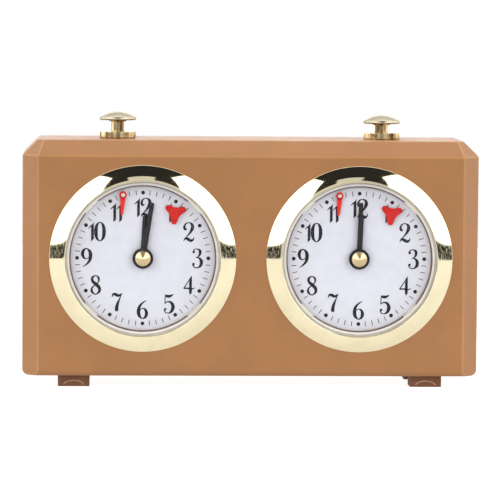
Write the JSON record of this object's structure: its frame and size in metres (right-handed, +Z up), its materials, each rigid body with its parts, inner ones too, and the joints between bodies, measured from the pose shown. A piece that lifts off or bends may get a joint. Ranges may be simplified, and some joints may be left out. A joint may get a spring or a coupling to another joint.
{
  "type": "chess clock",
  "caption": "Mechanical chess clock: bevelled tan case, gold bezels over white dials, red flags, and brass push buttons on a rocker that stops one movement.",
  "frame": {"origin": "middle of the box's base, on the surface the feet stand on", "axes": "+X along the width to the right clock, +Y from the dials to the back, +Z up"},
  "size_m": [0.19, 0.0628, 0.1141],
  "materials": {
    "case_plastic": "satin moulded tan plastic",
    "cover_plastic": "moulded tan plastic, fine texture",
    "foot_rubber": "dull brown",
    "screw_steel": "turned",
    "plate_brass": "fine grained",
    "button_brass": "polished",
    "bezel_gold": "bright polished, lacquered",
    "lens_glass": "clear domed",
    "dial_white": "white enamel, printed figures",
    "hand_black": "black lacquer",
    "signal_red": "red",
    "spring_steel": "blued"
  },
  "bodies": {
    "case": {"case": "case_plastic", "back_cover": "cover_plastic", "cover_screws": "screw_steel", "feet": "foot_rubber", "front_plates": "plate_brass", "back_plates": "plate_brass", "pillars": "plate_brass", "rocker_pivot": "screw_steel", "button_bushes": "button_brass", "bezel_left": "bezel_gold", "lens_left": "lens_glass", "dial_left": "dial_white", "hairspring_left": "spring_steel", "bezel_right": "bezel_gold", "lens_right": "lens_glass", "dial_right": "dial_white", "hairspring_right": "spring_steel"},
    "rocker": {"rocker": "plate_brass"},
    "button_left": {"button_left": "button_brass"},
    "button_right": {"button_right": "button_brass"},
    "minute_hand_left": {"minute_hand_left": "hand_black", "hand_cap_left": "button_brass", "centre_wheel_left": "plate_brass", "setting_knob_left": "button_brass"},
    "hour_hand_left": {"hour_hand_left": "hand_black", "hour_wheel_left": "plate_brass"},
    "minute_wheel_left": {"minute_wheel_left": "plate_brass"},
    "barrel_left": {"barrel_left": "plate_brass", "mainspring_left": "spring_steel"},
    "third_wheel_left": {"third_wheel_left": "plate_brass"},
    "fourth_wheel_left": {"fourth_wheel_left": "plate_brass"},
    "escape_wheel_left": {"escape_wheel_left": "plate_brass", "indicator_left": "signal_red"},
    "winding_key_left": {"winding_arbor_left": "screw_steel", "winding_key_left": "button_brass"},
    "click_left": {"click_left": "screw_steel"},
    "flag_left": {"flag_left": "signal_red"},
    "pallet_lever_left": {"pallet_lever_left": "screw_steel"},
    "balance_wheel_left": {"balance_wheel_left": "plate_brass"},
    "regulator_left": {"regulator_left": "screw_steel"},
    "minute_hand_right": {"minute_hand_right": "hand_black", "hand_cap_right": "button_brass", "centre_wheel_right": "plate_brass", "setting_knob_right": "button_brass"},
    "hour_hand_right": {"hour_hand_right": "hand_black", "hour_wheel_right": "plate_brass"},
    "minute_wheel_right": {"minute_wheel_right": "plate_brass"},
    "barrel_right": {"barrel_right": "plate_brass", "mainspring_right": "spring_steel"},
    "third_wheel_right": {"third_wheel_right": "plate_brass"},
    "fourth_wheel_right": {"fourth_wheel_right": "plate_brass"},
    "escape_wheel_right": {"escape_wheel_right": "plate_brass", "indicator_right": "signal_red"},
    "winding_key_right": {"winding_arbor_right": "screw_steel", "winding_key_right": "button_brass"},
    "click_right": {"click_right": "screw_steel"},
    "flag_right": {"flag_right": "signal_red"},
    "pallet_lever_right": {"pallet_lever_right": "screw_steel"},
    "balance_wheel_right": {"balance_wheel_right": "plate_brass"},
    "regulator_right": {"regulator_right": "screw_steel"}
  },
  "joints": [
    {"name": "rocker_tilt", "type": "hinge", "parent": "case", "child": "rocker", "pos_m": [0, -0.0036, 0.089], "axis": [0, 1, 0], "range_deg": [-3.58, 2.61]},
    {"name": "button_left_travel", "type": "slide", "parent": "case", "child": "button_left", "axis": [0, 0, 1], "range_m": [-0.00347, 0.00253]},
    {"name": "button_right_travel", "type": "slide", "parent": "case", "child": "button_right", "axis": [0, 0, 1], "range_m": [-0.00253, 0.00347]},
    {"name": "minute_hand_left_turn", "type": "hinge", "parent": "case", "child": "minute_hand_left", "pos_m": [-0.045, -0.0076, 0.0538], "axis": [0, 1, 0], "continuous": true},
    {"name": "hour_hand_left_turn", "type": "hinge", "parent": "case", "child": "hour_hand_left", "pos_m": [-0.045, -0.0116, 0.0538], "axis": [0, 1, 0], "continuous": true},
    {"name": "minute_wheel_left_turn", "type": "hinge", "parent": "case", "child": "minute_wheel_left", "pos_m": [-0.05289, -0.0116, 0.05093], "axis": [0, 1, 0], "continuous": true},
    {"name": "barrel_left_turn", "type": "hinge", "parent": "case", "child": "barrel_left", "pos_m": [-0.045, -0.0116, 0.0322], "axis": [0, 1, 0], "continuous": true},
    {"name": "third_wheel_left_turn", "type": "hinge", "parent": "case", "child": "third_wheel_left", "pos_m": [-0.0496, -0.0116, 0.06649], "axis": [0, 1, 0], "continuous": true},
    {"name": "fourth_wheel_left_turn", "type": "hinge", "parent": "case", "child": "fourth_wheel_left", "pos_m": [-0.0418, -0.0116, 0.07658], "axis": [0, 1, 0], "continuous": true},
    {"name": "escape_wheel_left_turn", "type": "hinge", "parent": "case", "child": "escape_wheel_left", "pos_m": [-0.03172, -0.0116, 0.07269], "axis": [0, 1, 0], "continuous": true},
    {"name": "winding_key_left_turn", "type": "hinge", "parent": "case", "child": "winding_key_left", "pos_m": [-0.045, 0.0224, 0.0322], "axis": [0, 1, 0], "range_deg": [0, 1800]},
    {"name": "click_left_lift", "type": "hinge", "parent": "case", "child": "click_left", "pos_m": [-0.0536, -0.0016, 0.0376], "axis": [0, 1, 0], "range_deg": [-12, 0], "stiffness_Nm_per_rad": 0.0002},
    {"name": "flag_left_swing", "type": "hinge", "parent": "case", "child": "flag_left", "pos_m": [-0.0533, -0.0252, 0.08], "axis": [0, 1, 0], "range_deg": [-85, 10]},
    {"name": "pallet_left_rock", "type": "hinge", "parent": "case", "child": "pallet_lever_left", "pos_m": [-0.02563, -0.0151, 0.06541], "axis": [0, 1, 0], "range_deg": [-5, 5]},
    {"name": "balance_left_swing", "type": "hinge", "parent": "case", "child": "balance_wheel_left", "pos_m": [-0.01988, -0.0126, 0.05545], "axis": [0, 1, 0], "range_deg": [-150, 150], "stiffness_Nm_per_rad": 0.000004},
    {"name": "regulator_left_turn", "type": "hinge", "parent": "case", "child": "regulator_left", "pos_m": [-0.01988, -0.0017, 0.05545], "axis": [0, 1, 0], "range_deg": [-20, 20]},
    {"name": "minute_hand_right_turn", "type": "hinge", "parent": "case", "child": "minute_hand_right", "pos_m": [0.045, -0.0076, 0.0538], "axis": [0, 1, 0], "continuous": true},
    {"name": "hour_hand_right_turn", "type": "hinge", "parent": "case", "child": "hour_hand_right", "pos_m": [0.045, -0.0116, 0.0538], "axis": [0, 1, 0], "continuous": true},
    {"name": "minute_wheel_right_turn", "type": "hinge", "parent": "case", "child": "minute_wheel_right", "pos_m": [0.03711, -0.0116, 0.05093], "axis": [0, 1, 0], "continuous": true},
    {"name": "barrel_right_turn", "type": "hinge", "parent": "case", "child": "barrel_right", "pos_m": [0.045, -0.0116, 0.0322], "axis": [0, 1, 0], "continuous": true},
    {"name": "third_wheel_right_turn", "type": "hinge", "parent": "case", "child": "third_wheel_right", "pos_m": [0.0404, -0.0116, 0.06649], "axis": [0, 1, 0], "continuous": true},
    {"name": "fourth_wheel_right_turn", "type": "hinge", "parent": "case", "child": "fourth_wheel_right", "pos_m": [0.0482, -0.0116, 0.07658], "axis": [0, 1, 0], "continuous": true},
    {"name": "escape_wheel_right_turn", "type": "hinge", "parent": "case", "child": "escape_wheel_right", "pos_m": [0.05828, -0.0116, 0.07269], "axis": [0, 1, 0], "continuous": true},
    {"name": "winding_key_right_turn", "type": "hinge", "parent": "case", "child": "winding_key_right", "pos_m": [0.045, 0.0224, 0.0322], "axis": [0, 1, 0], "range_deg": [0, 1800]},
    {"name": "click_right_lift", "type": "hinge", "parent": "case", "child": "click_right", "pos_m": [0.0364, -0.0016, 0.0376], "axis": [0, 1, 0], "range_deg": [-12, 0], "stiffness_Nm_per_rad": 0.0002},
    {"name": "flag_right_swing", "type": "hinge", "parent": "case", "child": "flag_right", "pos_m": [0.0367, -0.0252, 0.08], "axis": [0, 1, 0], "range_deg": [-85, 10]},
    {"name": "pallet_right_rock", "type": "hinge", "parent": "case", "child": "pallet_lever_right", "pos_m": [0.06437, -0.0151, 0.06541], "axis": [0, 1, 0], "range_deg": [-5, 5]},
    {"name": "balance_right_swing", "type": "hinge", "parent": "case", "child": "balance_wheel_right", "pos_m": [0.07012, -0.0126, 0.05545], "axis": [0, 1, 0], "range_deg": [-150, 150], "stiffness_Nm_per_rad": 0.000004},
    {"name": "regulator_right_turn", "type": "hinge", "parent": "case", "child": "regulator_right", "pos_m": [0.07012, -0.0017, 0.05545], "axis": [0, 1, 0], "range_deg": [-20, 20]}
  ],
  "couplings": [
    {"joint": "button_left_travel", "follows": "rocker_tilt", "m_per_rad": 0.0555},
    {"joint": "button_right_travel", "follows": "rocker_tilt", "m_per_rad": -0.0555},
    {"joint": "hour_hand_left_turn", "follows": "minute_hand_left_turn", "ratio": 0.083333},
    {"joint": "minute_wheel_left_turn", "follows": "minute_hand_left_turn", "ratio": -0.33333},
    {"joint": "barrel_left_turn", "follows": "minute_hand_left_turn", "ratio": -0.2},
    {"joint": "third_wheel_left_turn", "follows": "minute_hand_left_turn", "ratio": -8},
    {"joint": "fourth_wheel_left_turn", "follows": "minute_hand_left_turn", "ratio": 60},
    {"joint": "escape_wheel_left_turn", "follows": "minute_hand_left_turn", "ratio": -480},
    {"joint": "hour_hand_right_turn", "follows": "minute_hand_right_turn", "ratio": 0.083333},
    {"joint": "minute_wheel_right_turn", "follows": "minute_hand_right_turn", "ratio": -0.33333},
    {"joint": "barrel_right_turn", "follows": "minute_hand_right_turn", "ratio": -0.2},
    {"joint": "third_wheel_right_turn", "follows": "minute_hand_right_turn", "ratio": -8},
    {"joint": "fourth_wheel_right_turn", "follows": "minute_hand_right_turn", "ratio": 60},
    {"joint": "escape_wheel_right_turn", "follows": "minute_hand_right_turn", "ratio": -480}
  ]
}
